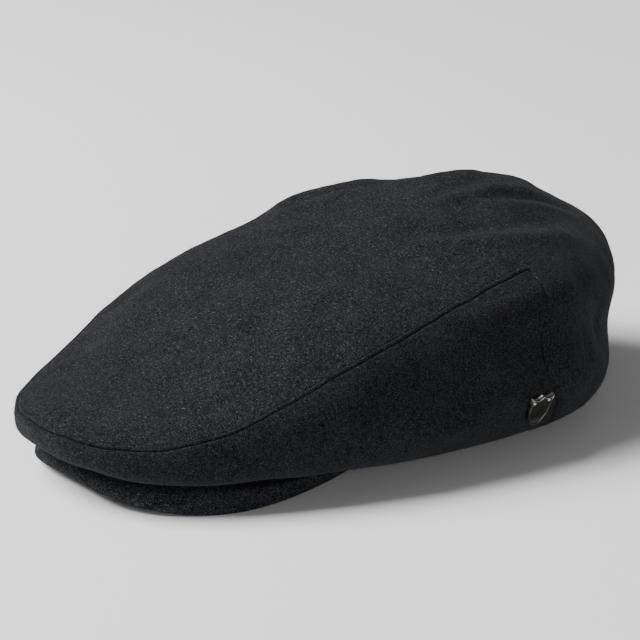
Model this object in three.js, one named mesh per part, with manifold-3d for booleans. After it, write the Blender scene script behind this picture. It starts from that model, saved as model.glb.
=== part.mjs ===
// A flat cap of thick felted wool, in millimetres, resting on its rim and peak.
// The origin is on the floor under the middle of the cap; -Y is the front, +X the wearer's left, +Z up.
// Its pieces are the crown panel (the top, carried down over the back to the rim), the side band
// (one strip that runs round the front under the top seam and widens along both sides), the stiff
// peak under the overhanging front, and a small metal shield in front of the left back seam.
// A place on the crown is named by a bearing (degrees from the front towards the wearer's left) and
// a profile share: 0 at the middle of the top, 1 at the widest edge, 2 at the rim.
import * as THREE from 'three';
import Module from 'manifold-3d';
import { mergeVertices } from 'three/addons/utils/BufferGeometryUtils.js';

// Driving dimensions.
const CROWN_LENGTH = 290; // front edge to back edge
const CROWN_WIDTH = 220; // across the widest edge
const CROWN_HEIGHT = 97; // floor to the roof line's full height
const RIM_LENGTH = 203; // head opening, outside the hem, front to back
const RIM_WIDTH = 172; // head opening, outside the hem, across
const HEAD_SETBACK = 23; // middle of the head opening behind the middle of the cap
const CLOTH_WALL = 2.4; // thick felted wool
const HEM_WALL = 4; // the turned hem at the rim
const PEAK_WIDTH = 164; // across the peak's outer edge
const PEAK_DEPTH = 54; // the peak's outer edge in front of the rim
const PEAK_THICKNESS = 4.5; // board between two layers of cloth
const PEAK_ROOM = 0.4; // between the peak's root and the rim above it
const SEAM_GAP = 0.3; // between two panels at a seam
const FOLD_RISE = 4; // full height or depth of a fold
const FOLD_WIDTH = 12; // half width of a fold
const BADGE_WIDTH = 13.4;
const BADGE_HEIGHT = 15.8;
const BADGE_PLATE = 1.1; // thickness of the shield's field
const BADGE_BORDER = 0.6; // the border's rise above the field
const BADGE_BORDER_WIDTH = 1.1;
const BADGE_STUD = 0.8; // radius of the two studs under its top corners
const BADGE_STUD_RISE = 0.5; // above the field
const BADGE_ROOM = 0.3; // between the badge and the cloth behind it
const BADGE_TURN = -6; // degrees that its top edge falls towards the back
const BADGE_BEARING = 96.3;
const BADGE_PROFILE = 1.275;

// Sections of the crown. across and along place the edge, as shares of half the crown's width and
// length; edge and under are heights as shares of CROWN_HEIGHT, of the edge and of the point that
// the side curves towards below it; roll is how squarely the top turns down to the edge; seam is
// the top seam's profile share.
const SECTIONS = [
  { bearing: 0, across: 0, along: -1, edge: 0.262, under: 0.09, roll: 3.6, seam: 0.918 },
  { bearing: 20, across: 0.494, along: -0.875, edge: 0.225, under: 0.065, roll: 3.6, seam: 0.888 },
  { bearing: 40, across: 0.785, along: -0.555, edge: 0.237, under: 0.08, roll: 3.4, seam: 0.768 },
  { bearing: 60, across: 0.935, along: -0.25, edge: 0.28, under: 0.105, roll: 3.0, seam: 0.66 },
  { bearing: 80, across: 0.99, along: 0.025, edge: 0.32, under: 0.127, roll: 2.7, seam: 0.59 },
  { bearing: 100, across: 1, along: 0.29, edge: 0.368, under: 0.133, roll: 2.6, seam: 0.577 },
  { bearing: 120, across: 0.9, along: 0.548, edge: 0.403, under: 0.118, roll: 2.3, seam: 0.58 },
  { bearing: 140, across: 0.664, along: 0.757, edge: 0.488, under: 0.146, roll: 2.1, seam: 0.58 },
  { bearing: 160, across: 0.365, along: 0.918, edge: 0.59, under: 0.218, roll: 2.1, seam: 0.58 },
  { bearing: 180, across: 0, along: 1, edge: 0.668, under: 0.267, roll: 2.3, seam: 0.58 },
];
// Height of the roof line along the cap: along is a share of half the length, rise of CROWN_HEIGHT.
const ROOF = [
  { along: -1, rise: 0.42 },
  { along: -0.714, rise: 0.445 },
  { along: -0.357, rise: 0.67 },
  { along: 0, rise: 0.81 },
  { along: 0.357, rise: 0.948 },
  { along: 0.714, rise: 0.995 },
  { along: 1, rise: 0.82 },
];
// How far the rim is off the floor, as a share of CROWN_HEIGHT; behind the last row it rests.
const RIM_RISE = [
  { bearing: 0, rise: 0.184 },
  { bearing: 20, rise: 0.15 },
  { bearing: 40, rise: 0.1 },
  { bearing: 60, rise: 0.065 },
  { bearing: 80, rise: 0.055 },
  { bearing: 100, rise: 0.046 },
  { bearing: 120, rise: 0.018 },
  { bearing: 140, rise: 0 },
];
// Bearing of the seam that comes down each side behind the badge, by profile share.
const BACK_SEAM = [
  { profile: 0.58, bearing: 109 },
  { profile: 0.75, bearing: 105 },
  { profile: 0.92, bearing: 100.5 },
  { profile: 1.1, bearing: 101.5 },
  { profile: 1.5, bearing: 104.5 },
  { profile: 2, bearing: 106 },
];
// The peak's outline and drop: across is a share of half PEAK_WIDTH, reach of PEAK_DEPTH in front
// of the rim, lift the height of the edge above its lowest part and thick the thickness, both as
// shares of PEAK_THICKNESS.
const PEAK_EDGE = [
  { bearing: 0, across: 0, reach: 1, lift: 1.25, thick: 1 },
  { bearing: 15, across: 0.47, reach: 0.92, lift: 0.8, thick: 1 },
  { bearing: 30, across: 0.84, reach: 0.41, lift: 0, thick: 1 },
  { bearing: 45, across: 0.95, reach: -0.4, lift: 0.35, thick: 0.95 },
  { bearing: 58, across: 0.9, reach: -0.91, lift: 0.3, thick: 0.35 },
];
// How far across the peak, from root to edge, its facets break, and how thick it is there.
const PEAK_PROFILE = [
  { share: 0, thick: 1 },
  { share: 0.2, thick: 1 },
  { share: 0.4, thick: 1 },
  { share: 0.6, thick: 1 },
  { share: 0.78, thick: 1 },
  { share: 0.9, thick: 0.93 },
  { share: 0.965, thick: 0.72 },
  { share: 1, thick: 0.4 },
];
// Folds: each runs between two places on the crown, given by bearing and profile. rise and width
// are shares of FOLD_RISE and FOLD_WIDTH, and a negative rise is a valley.
const FOLDS = [
  { bearing: 99, profile: 0.26, toBearing: 137, toProfile: 0.58, rise: 0.45, width: 0.6 },
  { bearing: 106, profile: 0.2, toBearing: 140, toProfile: 0.48, rise: -0.5, width: 0.7 },
  { bearing: 150, profile: 0.36, toBearing: 163, toProfile: 0.66, rise: 0.4, width: 0.55 },
  { bearing: 157, profile: 0.34, toBearing: 163, toProfile: 0.62, rise: -0.6, width: 0.5 },
  { bearing: 160, profile: 0.24, toBearing: 167, toProfile: 0.46, rise: 0.4, width: 0.55 },
  { bearing: 195, profile: 0.3, toBearing: 178, toProfile: 0.5, rise: 0.6, width: 0.9 },
  { bearing: 274, profile: 0.36, toBearing: 238, toProfile: 0.26, rise: 0.35, width: 0.8 },
  { bearing: 262, profile: 0.4, toBearing: 230, toProfile: 0.34, rise: -0.5, width: 0.8 },
  { bearing: 264, profile: 0.48, toBearing: 236, toProfile: 0.46, rise: 0.55, width: 0.9 },
  { bearing: 286, profile: 0.38, toBearing: 272, toProfile: 0.5, rise: -0.4, width: 0.8 },
  { bearing: 345, profile: 0.72, toBearing: 318, toProfile: 0.6, rise: -0.4, width: 1.3 },
  { bearing: 60, profile: 0.88, toBearing: 100, toProfile: 0.86, rise: -0.7, width: 1 },
  { bearing: 100, profile: 0.86, toBearing: 124, toProfile: 0.9, rise: -0.8, width: 1.1 },
  { bearing: 127, profile: 0.98, toBearing: 158, toProfile: 1.28, rise: -0.8, width: 1.2 },
  { bearing: 202, profile: 1.28, toBearing: 233, toProfile: 0.98, rise: -0.8, width: 1.2 },
  { bearing: 236, profile: 0.9, toBearing: 260, toProfile: 0.86, rise: -0.8, width: 1.1 },
  { bearing: 260, profile: 0.86, toBearing: 300, toProfile: 0.88, rise: -0.6, width: 1 },
  { bearing: 62, profile: 1, toBearing: 91, toProfile: 1.09, rise: 0.4, width: 0.8 },
  { bearing: 92, profile: 0.7, toBearing: 112, toProfile: 0.74, rise: 0.5, width: 0.9 },
];

const RING_COLUMNS = 72; // columns of facets round the crown
const TOP_ROWS = 14; // rows from the middle of the top to the top seam
const SKIRT_ROWS = 10; // rows from the top seam to the rim
const SEAM_COLUMN = 21; // the column that becomes the back seam on each side
const SEAM_SPREAD = 25; // degrees over which the back seam's slant fades out
const PEAK_COLUMNS = 36;
const PEAK_FOOT = 0.78; // share of the thickness that brings its lowest part to the floor
const FOLD_STATIONS = 9; // points along a fold
const FOLD_END = 1.5; // the profile where folds start to fade towards the rim
const HEM_STARTS = 1.6; // the profile where the wall starts to thicken to the hem
const FOOT_STARTS = 90; // the bearing where the hem's underside starts to turn level
const FOOT_LEVEL = 138; // the bearing behind which it is level
const DEGREES = 0.5; // step for differences round the crown
const SHARES = 0.01; // step for differences down the profile

const wasm = await Module();
wasm.setup();

// A cubic spline through a table's column. Flat ends have no slope; the others have no curvature.
function splineThrough(table, input, output, flatEnds) {
  const x = table.map((row) => row[input]);
  const y = table.map((row) => row[output]);
  const last = x.length - 1;
  // Second derivatives, by forward elimination and back substitution.
  const upper = new Array(last + 1).fill(0);
  const slope = new Array(last + 1).fill(0);
  const bend = new Array(last + 1).fill(0);
  const rise = (i) => (y[i + 1] - y[i]) / (x[i + 1] - x[i]);
  if (flatEnds) {
    upper[0] = 0.5;
    slope[0] = (3 * rise(0)) / (x[1] - x[0]);
  }
  for (let i = 1; i < last; i++) {
    const left = (x[i] - x[i - 1]) / (x[i + 1] - x[i - 1]);
    const pivot = 2 - left * upper[i - 1];
    const turn = (6 * (rise(i) - rise(i - 1))) / (x[i + 1] - x[i - 1]);
    upper[i] = (1 - left) / pivot;
    slope[i] = (turn - left * slope[i - 1]) / pivot;
  }
  if (flatEnds) {
    const turn = (-6 * rise(last - 1)) / (x[last] - x[last - 1]);
    bend[last] = (turn - slope[last - 1]) / (2 - upper[last - 1]);
  }
  for (let i = last - 1; i >= 0; i--) bend[i] = slope[i] - upper[i] * bend[i + 1];
  return (at) => {
    const t = THREE.MathUtils.clamp(at, x[0], x[last]);
    let i = 0;
    while (i < last - 1 && t > x[i + 1]) i++;
    const h = x[i + 1] - x[i];
    const a = (x[i + 1] - t) / h;
    const b = (t - x[i]) / h;
    return a * y[i] + b * y[i + 1] + (((a ** 3 - a) * bend[i] + (b ** 3 - b) * bend[i + 1]) * h * h) / 6;
  };
}

const acrossAt = splineThrough(SECTIONS, 'bearing', 'across', false);
const alongAt = splineThrough(SECTIONS, 'bearing', 'along', true);
const edgeAt = splineThrough(SECTIONS, 'bearing', 'edge', true);
const underAt = splineThrough(SECTIONS, 'bearing', 'under', true);
const rollAt = splineThrough(SECTIONS, 'bearing', 'roll', true);
const seamAt = splineThrough(SECTIONS, 'bearing', 'seam', true);
const roofAt = splineThrough(ROOF, 'along', 'rise', false);
const rimRiseAt = splineThrough(RIM_RISE, 'bearing', 'rise', true);
const backSeamAt = splineThrough(BACK_SEAM, 'profile', 'bearing', false);
const FOOT_BEARING = RIM_RISE[RIM_RISE.length - 1].bearing;

// Bearing folded onto one side: how far from the front, and which side.
function foldBearing(bearing) {
  const turned = THREE.MathUtils.euclideanModulo(bearing + 180, 360) - 180;
  return { off: Math.abs(turned), side: turned < 0 ? -1 : 1 };
}

// The rim is an ellipse whose height follows RIM_RISE.
function rimPoint(bearing) {
  const { off } = foldBearing(bearing);
  const angle = THREE.MathUtils.degToRad(bearing);
  return new THREE.Vector3(
    (RIM_WIDTH / 2) * Math.sin(angle),
    HEAD_SETBACK - (RIM_LENGTH / 2) * Math.cos(angle),
    off >= FOOT_BEARING ? 0 : CROWN_HEIGHT * rimRiseAt(off),
  );
}

// The crown before its folds. Above the edge the roof line rolls down to it like a superellipse;
// below it a parabola turns in to the rim.
function smoothPoint(bearing, profile) {
  const { off, side } = foldBearing(bearing);
  const edge = new THREE.Vector3(
    (CROWN_WIDTH / 2) * side * acrossAt(off),
    (CROWN_LENGTH / 2) * alongAt(off),
    CROWN_HEIGHT * edgeAt(off),
  );
  if (profile <= 1) {
    const out = Math.sin((profile * Math.PI) / 2);
    const y = HEAD_SETBACK + (edge.y - HEAD_SETBACK) * out;
    const roof = CROWN_HEIGHT * roofAt(y / (CROWN_LENGTH / 2));
    const roll = rollAt(off);
    const share = Math.max(0, 1 - out ** roll) ** (1 / roll);
    return new THREE.Vector3(edge.x * out, y, edge.z + (roof - edge.z) * share);
  }
  const rim = rimPoint(bearing);
  const t = Math.min(profile - 1, 1);
  const corner = new THREE.Vector3(edge.x, edge.y, CROWN_HEIGHT * underAt(off));
  return edge
    .multiplyScalar((1 - t) ** 2)
    .addScaledVector(corner, 2 * t * (1 - t))
    .addScaledVector(rim, t * t);
}

// Outward normal by differences along the two directions.
function normalAt(surface, bearing, profile) {
  const p = THREE.MathUtils.clamp(profile, 2 * SHARES, 2 - SHARES);
  const round = surface(bearing + DEGREES, p).sub(surface(bearing - DEGREES, p));
  const down = surface(bearing, p + SHARES).sub(surface(bearing, p - SHARES));
  return down.cross(round).normalize();
}

// Each fold as a line of places on the smooth crown.
const foldLines = FOLDS.map((fold) => ({
  rise: FOLD_RISE * fold.rise,
  width: FOLD_WIDTH * fold.width,
  line: Array.from({ length: FOLD_STATIONS }, (_, i) => {
    const share = i / (FOLD_STATIONS - 1);
    return smoothPoint(
      THREE.MathUtils.lerp(fold.bearing, fold.toBearing, share),
      THREE.MathUtils.lerp(fold.profile, fold.toProfile, share),
    );
  }),
}));

function distanceToLine(point, line) {
  let least = Infinity;
  const nearest = new THREE.Vector3();
  for (let i = 1; i < line.length; i++) {
    new THREE.Line3(line[i - 1], line[i]).closestPointToPoint(point, true, nearest);
    least = Math.min(least, nearest.distanceTo(point));
  }
  return least;
}

// The crown with its folds: each lifts the cloth along its normal by a bell curve of the distance.
function crownPoint(bearing, profile) {
  const point = smoothPoint(bearing, profile);
  let lift = 0;
  for (const fold of foldLines) {
    const away = distanceToLine(point, fold.line) / fold.width;
    lift += fold.rise * Math.exp(-away * away);
  }
  const fade = 1 - THREE.MathUtils.smoothstep(profile, FOLD_END, 2);
  return point.addScaledVector(normalAt(smoothPoint, bearing, profile), lift * fade);
}

// The inside of the wall under a place on the crown. Towards the rim it thickens to the hem, and
// round the back it steps level, so that the hem's underside is flat on the floor.
function liningPoint(bearing, profile) {
  const { off } = foldBearing(bearing);
  const angle = THREE.MathUtils.degToRad(bearing);
  const near = THREE.MathUtils.smoothstep(profile, HEM_STARTS, 2);
  const level = near * THREE.MathUtils.smoothstep(off, FOOT_STARTS, FOOT_LEVEL);
  const outward = new THREE.Vector3(Math.sin(angle), -Math.cos(angle), 0);
  const direction = normalAt(crownPoint, bearing, profile).lerp(outward, level).normalize();
  const wall = THREE.MathUtils.lerp(CLOTH_WALL, HEM_WALL, near);
  return crownPoint(bearing, profile).addScaledVector(direction, -wall);
}

// A place on the crown moved over the cloth by millimetres down the profile and round the bearing.
function movedPlace(bearing, profile, down, round) {
  const beside = [crownPoint(bearing - DEGREES, profile), crownPoint(bearing + DEGREES, profile)];
  const above = [crownPoint(bearing, profile - SHARES), crownPoint(bearing, Math.min(profile + SHARES, 2))];
  const perDegree = beside[0].distanceTo(beside[1]) / (2 * DEGREES);
  const perShare = above[0].distanceTo(above[1]) / (Math.min(profile + SHARES, 2) - profile + SHARES);
  return [bearing + round / perDegree, Math.min(profile + down / perShare, 2)];
}

// A sheet is outer and inner points with triangles between them; its open edges get walls.
class Sheet {
  constructor() {
    this.outer = [];
    this.inner = [];
    this.triangles = [];
  }

  add(outer, inner) {
    this.outer.push(outer);
    this.inner.push(inner);
    return this.outer.length - 1;
  }

  quad(a, b, c, d) {
    this.triangles.push([a, b, c], [a, c, d]);
  }

  solid() {
    const size = this.outer.length;
    const positions = [...this.outer, ...this.inner].flatMap((p) => [p.x, p.y, p.z]);
    const index = [];
    const edges = new Map();
    for (const [a, b, c] of this.triangles) {
      index.push(a, b, c, size + a, size + c, size + b);
      for (const [from, to] of [[a, b], [b, c], [c, a]]) edges.set(from + '>' + to, [from, to]);
    }
    for (const [from, to] of edges.values()) {
      if (edges.has(to + '>' + from)) continue;
      index.push(to, from, size + from, to, size + from, size + to);
    }
    const geometry = new THREE.BufferGeometry();
    geometry.setAttribute('position', new THREE.Float32BufferAttribute(positions, 3));
    geometry.setIndex(index);
    geometry.computeVertexNormals();
    return geometry;
  }
}

const columnBearing = (column) => (column * 360) / RING_COLUMNS;
const seamBearing = columnBearing(SEAM_COLUMN);
const onBackSeam = (column) => Math.abs(column) === SEAM_COLUMN || column === RING_COLUMNS - SEAM_COLUMN;

// The place of a column and row of the skirt, which hangs from the top seam's line to the rim. The
// columns near the back seam slant with it. Along the seams a panel keeps half a gap to itself.
function skirtPlace(column, row, isCrown) {
  const straight = columnBearing(column);
  const { off, side } = foldBearing(straight);
  const profile = THREE.MathUtils.lerp(seamAt(off), 2, row / SKIRT_ROWS);
  const spread = (off - seamBearing) / SEAM_SPREAD;
  const slant = (backSeamAt(profile) - seamBearing) * Math.exp(-spread * spread);
  const away = isCrown ? SEAM_GAP / 2 : -SEAM_GAP / 2;
  const round = onBackSeam(column) ? away * side : 0;
  const down = row === 0 && off <= seamBearing ? -away : 0;
  return movedPlace(straight + side * slant, profile, down, round);
}

function addPlace(sheet, [bearing, profile]) {
  return sheet.add(crownPoint(bearing, profile), liningPoint(bearing, profile));
}

// The crown panel: a disc down to the top seam's line all round, and the back below that line.
function crownPanel() {
  const sheet = new Sheet();
  const middle = addPlace(sheet, [0, 0]);
  let above = [];
  for (let row = 1; row <= TOP_ROWS; row++) {
    const share = row / TOP_ROWS;
    const ring = [];
    for (let column = 0; column < RING_COLUMNS; column++) {
      const [bearing, profile] = skirtPlace(column, 0, true);
      const turned = THREE.MathUtils.lerp(columnBearing(column), bearing, share ** 2);
      ring.push(addPlace(sheet, [turned, profile * share]));
    }
    for (let column = 0; column < RING_COLUMNS; column++) {
      const next = (column + 1) % RING_COLUMNS;
      if (row === 1) sheet.triangles.push([middle, ring[column], ring[next]]);
      else sheet.quad(above[column], ring[column], ring[next], above[next]);
    }
    above = ring;
  }
  const last = RING_COLUMNS - SEAM_COLUMN;
  for (let row = 1; row <= SKIRT_ROWS; row++) {
    const line = [];
    for (let column = SEAM_COLUMN; column <= last; column++) {
      line[column] = addPlace(sheet, skirtPlace(column, row, true));
    }
    for (let column = SEAM_COLUMN; column < last; column++) {
      sheet.quad(above[column], line[column], line[column + 1], above[column + 1]);
    }
    above = line;
  }
  return sheet.solid();
}

// The side band: everything below the top seam, from one back seam round the front to the other.
function sideBand() {
  const sheet = new Sheet();
  let above = [];
  for (let row = 0; row <= SKIRT_ROWS; row++) {
    const line = [];
    for (let column = -SEAM_COLUMN; column <= SEAM_COLUMN; column++) {
      line.push(addPlace(sheet, skirtPlace(column, row, false)));
    }
    for (let i = 1; row > 0 && i < line.length; i++) {
      sheet.quad(above[i - 1], line[i - 1], line[i], above[i]);
    }
    above = line;
  }
  return sheet.solid();
}

const peakAcrossAt = splineThrough(PEAK_EDGE, 'bearing', 'across', false);
const peakReachAt = splineThrough(PEAK_EDGE, 'bearing', 'reach', true);
const peakLiftAt = splineThrough(PEAK_EDGE, 'bearing', 'lift', true);
const peakThickAt = splineThrough(PEAK_EDGE, 'bearing', 'thick', true);

// The top and underside of the peak at a bearing and a row of PEAK_PROFILE. From its root under the
// rim the peak falls away evenly to its outer edge.
function peakPlace(bearing, { share, thick }) {
  const { off, side } = foldBearing(bearing);
  const root = rimPoint(bearing);
  root.z -= PEAK_ROOM;
  const edge = new THREE.Vector3(
    (PEAK_WIDTH / 2) * side * peakAcrossAt(off),
    HEAD_SETBACK - RIM_LENGTH / 2 - PEAK_DEPTH * peakReachAt(off),
    PEAK_THICKNESS * (PEAK_FOOT + peakLiftAt(off)),
  );
  const top = root.clone().lerp(edge, share);
  const whole = PEAK_THICKNESS * peakThickAt(off);
  const thin = (whole * (1 - thick)) / 2;
  const under = top.clone();
  top.z -= thin;
  under.z -= whole - thin;
  return { top, under };
}

// The peak is let down onto the floor as a whole.
function peakSolid() {
  const sheet = new Sheet();
  const tip = PEAK_EDGE[PEAK_EDGE.length - 1].bearing;
  let before = [];
  for (let column = 0; column <= PEAK_COLUMNS; column++) {
    const bearing = THREE.MathUtils.lerp(-tip, tip, column / PEAK_COLUMNS);
    const line = PEAK_PROFILE.map((row) => {
      const { top, under } = peakPlace(bearing, row);
      return sheet.add(top, under);
    });
    for (let i = 1; column > 0 && i < line.length; i++) {
      sheet.quad(before[i - 1], before[i], line[i], line[i - 1]);
    }
    before = line;
  }
  const lowest = Math.min(...sheet.inner.map((point) => point.z));
  return sheet.solid().translate(0, 0, -lowest);
}

// The shield's outline as shares of half its width and height: a top edge with a small point in
// it, straight sides and a rounded point below. Its left half mirrors it.
const SHIELD = [
  { across: 0, up: 1 },
  { across: 0.3, up: 0.8 },
  { across: 0.62, up: 0.8 },
  { across: 1, up: 0.93 },
  { across: 0.94, up: 0.6 },
  { across: 0.95, up: 0.1 },
  { across: 0.86, up: -0.35 },
  { across: 0.6, up: -0.72 },
  { across: 0.3, up: -0.93 },
  { across: 0, up: -1 },
];
const STUD_SIDES = 16;
const STUD_ACROSS = 0.66; // the studs' middles, as shares of half the badge's width and height
const STUD_UP = 0.56;
const STUD_TAPER = 0.8; // radius of a stud's head, as a share of its foot

// An outline of the shield, drawn in from its edge by a margin.
function shieldShape(margin) {
  const right = SHIELD.map(({ across, up }) =>
    new THREE.Vector2(across * (BADGE_WIDTH / 2 - margin), up * (BADGE_HEIGHT / 2 - margin)),
  );
  const left = right.slice(1, -1).reverse().map((point) => new THREE.Vector2(-point.x, point.y));
  return new THREE.Shape([...right, ...left]);
}

// A closed geometry as a solid that can be joined and cut.
function asSolid(geometry) {
  geometry.deleteAttribute('normal');
  geometry.deleteAttribute('uv');
  const merged = mergeVertices(geometry, 1e-5);
  const vertProperties = new Float32Array(merged.attributes.position.array);
  const triVerts = new Uint32Array(merged.index.array);
  return new wasm.Manifold(new wasm.Mesh({ numProp: 3, vertProperties, triVerts }));
}

// The badge lies on its back in its own frame, then is laid against the cloth.
function badgeSolid() {
  const plate = { depth: BADGE_PLATE + BADGE_BORDER, bevelEnabled: false };
  const hollow = { depth: 2 * BADGE_BORDER, bevelEnabled: false };
  const field = new THREE.ExtrudeGeometry(shieldShape(BADGE_BORDER_WIDTH), hollow);
  field.translate(0, 0, BADGE_PLATE);
  let badge = asSolid(new THREE.ExtrudeGeometry(shieldShape(0), plate)).subtract(asSolid(field));
  for (const side of [-1, 1]) {
    const height = BADGE_PLATE + BADGE_STUD_RISE;
    const stud = new THREE.CylinderGeometry(BADGE_STUD * STUD_TAPER, BADGE_STUD, height, STUD_SIDES);
    stud.rotateX(Math.PI / 2);
    stud.translate((side * STUD_ACROSS * BADGE_WIDTH) / 2, (STUD_UP * BADGE_HEIGHT) / 2, height / 2);
    badge = badge.add(asSolid(stud));
  }
  const mesh = badge.getMesh();
  const geometry = new THREE.BufferGeometry();
  geometry.setAttribute('position', new THREE.BufferAttribute(mesh.vertProperties, mesh.numProp));
  geometry.setIndex(new THREE.BufferAttribute(mesh.triVerts, 1));
  const middle = crownPoint(BADGE_BEARING, BADGE_PROFILE);
  const out = normalAt(crownPoint, BADGE_BEARING, BADGE_PROFILE);
  const higher = crownPoint(BADGE_BEARING, BADGE_PROFILE - SHARES);
  const up = higher.sub(crownPoint(BADGE_BEARING, BADGE_PROFILE + SHARES)).normalize();
  const frame = new THREE.Matrix4().makeBasis(up.clone().cross(out), up, out);
  frame.setPosition(middle.addScaledVector(out, BADGE_ROOM));
  frame.multiply(new THREE.Matrix4().makeRotationZ(THREE.MathUtils.degToRad(BADGE_TURN)));
  geometry.applyMatrix4(frame);
  geometry.computeVertexNormals();
  return geometry;
}

const wool = new THREE.MeshStandardMaterial({ color: 0x2b2b2f, roughness: 0.95 });
wool.name = 'charcoal_wool';
const metal = new THREE.MeshStandardMaterial({ color: 0x8d8b86, roughness: 0.3, metalness: 1 });
metal.name = 'antique_metal';

const cap = new THREE.Group();
cap.name = 'flat_cap';
for (const [name, geometry, material] of [
  ['crown_top', crownPanel(), wool],
  ['side_band', sideBand(), wool],
  ['peak', peakSolid(), wool],
  ['badge', badgeSolid(), metal],
]) {
  const mesh = new THREE.Mesh(geometry, material);
  mesh.name = name;
  cap.add(mesh);
}
// The origin goes under the middle of the whole, badge included.
const whole = new THREE.Box3().setFromObject(cap, true).getCenter(new THREE.Vector3());
cap.position.set(-whole.x, -whole.y, 0);
export default cap;
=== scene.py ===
"""A flat cap of thick charcoal wool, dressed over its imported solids.

Everything is in metres in the row frame: -Y is the front, +X the wearer's left, +Z up, and the cap
rests on the floor. A place on the crown is a bearing (degrees from the front towards the wearer's
left) and a profile share: 0 at the middle of the top, 1 at the widest edge, 2 at the rim.
"""

import functools
import logging
import math
from dataclasses import dataclass
from enum import Enum
from typing import Any, Callable, NamedTuple

import bpy
import numpy as np
from mathutils import Matrix, Vector


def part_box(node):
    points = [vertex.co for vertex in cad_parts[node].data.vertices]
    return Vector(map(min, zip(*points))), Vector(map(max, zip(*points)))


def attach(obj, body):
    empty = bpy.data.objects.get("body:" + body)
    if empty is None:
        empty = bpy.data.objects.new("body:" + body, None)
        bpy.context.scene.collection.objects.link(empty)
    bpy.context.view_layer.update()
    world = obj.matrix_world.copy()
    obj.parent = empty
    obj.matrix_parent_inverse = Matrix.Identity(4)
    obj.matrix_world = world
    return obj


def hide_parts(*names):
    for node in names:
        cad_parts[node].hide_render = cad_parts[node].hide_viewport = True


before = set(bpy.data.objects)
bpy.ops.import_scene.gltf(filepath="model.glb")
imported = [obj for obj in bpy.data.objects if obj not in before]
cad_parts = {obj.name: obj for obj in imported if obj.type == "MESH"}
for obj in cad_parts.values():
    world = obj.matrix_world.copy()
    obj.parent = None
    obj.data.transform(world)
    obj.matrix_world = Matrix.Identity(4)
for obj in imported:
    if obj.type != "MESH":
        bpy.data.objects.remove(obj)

MM = 0.001
SEAM_BEARING = 105.0
SEAM_SPREAD = 25.0
SEAM_GAP = 0.3 * MM
BADGE_BEARING = 96.3
BADGE_PROFILE = 1.275
PEAK_FRONT = 132.5 * MM  # from the front of the peak's solid to the crown's own middle
STEP = 0.01  # the profile share over which a slope is taken
ROUND_END = 87  # degrees that a rounded edge turns before it closes
MATT = 0.1  # specular level of the cloth, thread and floor
log = logging.getLogger("flat_cap")

Array = np.ndarray


class Slot(Enum):
    """The record's material slots."""

    CROWN = "wool_crown"
    BAND = "wool_band"
    PEAK = "wool_peak"
    METAL = "antique_metal"


@dataclass(frozen=True)
class Spline:
    """A cubic spline through a few knots, for arrays of any shape."""

    knots: tuple[float, ...]
    values: tuple[float, ...]
    flat_ends: bool = True

    def bends(self) -> Array:
        """Second derivatives at the knots, from the usual tridiagonal equations.

        Returns:
            One value for each knot; the ends are flat, or else free of curvature.
        """
        x, y = np.array(self.knots, float), np.array(self.values, float)
        gap, rise = np.diff(x), np.diff(y) / np.diff(x)
        system, target = np.eye(len(x)), np.zeros(len(x))
        for i in range(1, len(x) - 1):
            system[i, i - 1 : i + 2] = gap[i - 1], 2 * (gap[i - 1] + gap[i]), gap[i]
            target[i] = 6 * (rise[i] - rise[i - 1])
        if self.flat_ends:
            system[0, :2] = 2 * gap[0], gap[0]
            system[-1, -2:] = gap[-1], 2 * gap[-1]
            target[0], target[-1] = 6 * rise[0], -6 * rise[-1]
        return np.linalg.solve(system, target)

    def __call__(self, at: Array) -> Array:
        """The spline's value.

        Args:
            at: where to read it; held at the end knots outside them.

        Returns:
            An array like at.
        """
        x, y, bend = np.array(self.knots, float), np.array(self.values, float), self.bends()
        t = np.clip(at, x[0], x[-1])
        i = np.clip(np.searchsorted(x, t) - 1, 0, len(x) - 2)
        gap = x[i + 1] - x[i]
        a, b = (x[i + 1] - t) / gap, (t - x[i]) / gap
        curve = ((a**3 - a) * bend[i] + (b**3 - b) * bend[i + 1]) * gap**2 / 6
        return a * y[i] + b * y[i + 1] + curve


def curve(*knots: tuple[float, float], flat_ends: bool = True) -> Spline:
    """A spline through pairs of a knot and its value."""
    return Spline(*zip(*knots), flat_ends)


class Section(NamedTuple):
    """A section of the crown at one bearing.

    The edge's place and the corner under it are shares of half the width, half the length and the
    height. Roll says how square the top turns over, and seam where the top seam crosses.
    """

    bearing: float
    across: float
    along: float
    edge: float
    under: float
    roll: float
    seam: float


SECTIONS = (
    Section(0, 0.0, -1.0, 0.262, 0.09, 3.6, 0.918),
    Section(20, 0.494, -0.875, 0.225, 0.065, 3.6, 0.888),
    Section(40, 0.785, -0.555, 0.237, 0.08, 3.4, 0.768),
    Section(60, 0.935, -0.25, 0.28, 0.105, 3.0, 0.66),
    Section(80, 0.99, 0.025, 0.32, 0.127, 2.7, 0.59),
    Section(100, 1.0, 0.29, 0.368, 0.133, 2.6, 0.577),
    Section(120, 0.9, 0.548, 0.403, 0.118, 2.3, 0.58),
    Section(140, 0.664, 0.757, 0.488, 0.146, 2.1, 0.58),
    Section(160, 0.365, 0.918, 0.59, 0.218, 2.1, 0.58),
    Section(180, 0.0, 1.0, 0.668, 0.267, 2.3, 0.58),
)


# The roof line: the share of the crown's height by the share of half its length.
ROOF = curve(
    (-1, 0.42), (-0.714, 0.445), (-0.357, 0.67), (0, 0.81), (0.357, 0.948), (0.714, 0.995), (1, 0.82),
    flat_ends=False,
)

# The rim's height off the floor by its bearing, as a share of the crown's height.
RIM_RISE = curve(
    (0, 0.184), (20, 0.15), (40, 0.1), (60, 0.065), (80, 0.055), (100, 0.046), (120, 0.018), (140, 0)
)

# The back seam's bearing by its profile share.
BACK_SEAM = curve(
    (0.58, 109), (0.75, 105), (0.92, 100.5), (1.1, 101.5), (1.5, 104.5), (2, 106), flat_ends=False
)

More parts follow.
